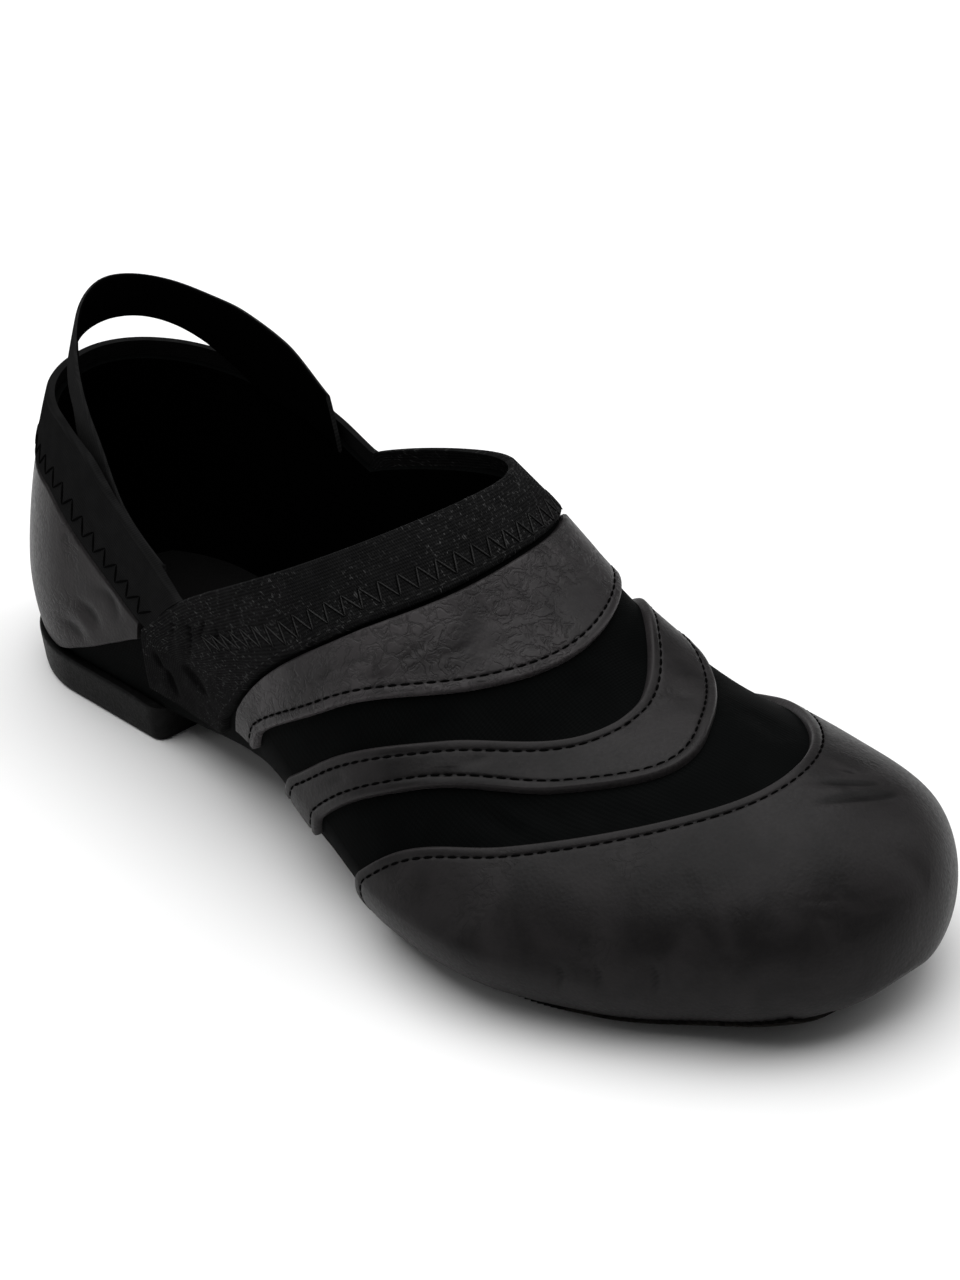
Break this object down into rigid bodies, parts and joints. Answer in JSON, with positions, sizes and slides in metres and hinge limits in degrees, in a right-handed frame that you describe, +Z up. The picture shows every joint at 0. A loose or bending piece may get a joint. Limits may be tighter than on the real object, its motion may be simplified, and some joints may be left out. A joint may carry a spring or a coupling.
{
  "type": "jazz shoe",
  "caption": "Slip-on split-sole jazz shoe for the right foot: leather bands on stretch cloth, elastic collar, heel pull loop and low heel pad.",
  "frame": {"origin": "on the floor, under the middle of the shoe's bounding box", "axes": "+Z up from the floor, +Y along the shoe from the toe to the heel, -X towards the outer side of the right foot"},
  "size_m": [0.1, 0.2454, 0.0903],
  "materials": {
    "stretch_cloth": "matt black stretch cloth",
    "cap_leather": "soft charcoal leather, low sheen",
    "band_leather": "soft charcoal leather, low sheen",
    "throat_leather": "soft charcoal leather, low sheen",
    "counter_leather": "soft charcoal leather, low sheen",
    "front_elastic": "matt ribbed black elastic",
    "rear_elastic": "matt ribbed black elastic",
    "loop_elastic": "matt black tape",
    "sole_suede": "rough dark suede",
    "heel_rubber": "matt black rubber",
    "insole_cloth": "matt dark cloth"
  },
  "bodies": {
    "root": {"upper": "stretch_cloth", "toe_cap": "cap_leather", "vamp_band": "band_leather", "throat_band": "throat_leather", "heel_counter": "counter_leather", "collar_front": "front_elastic", "collar_rear": "rear_elastic", "heel_loop": "loop_elastic", "forefoot_sole": "sole_suede", "heel_pad": "heel_rubber", "insole": "insole_cloth"}
  },
  "joints": []
}
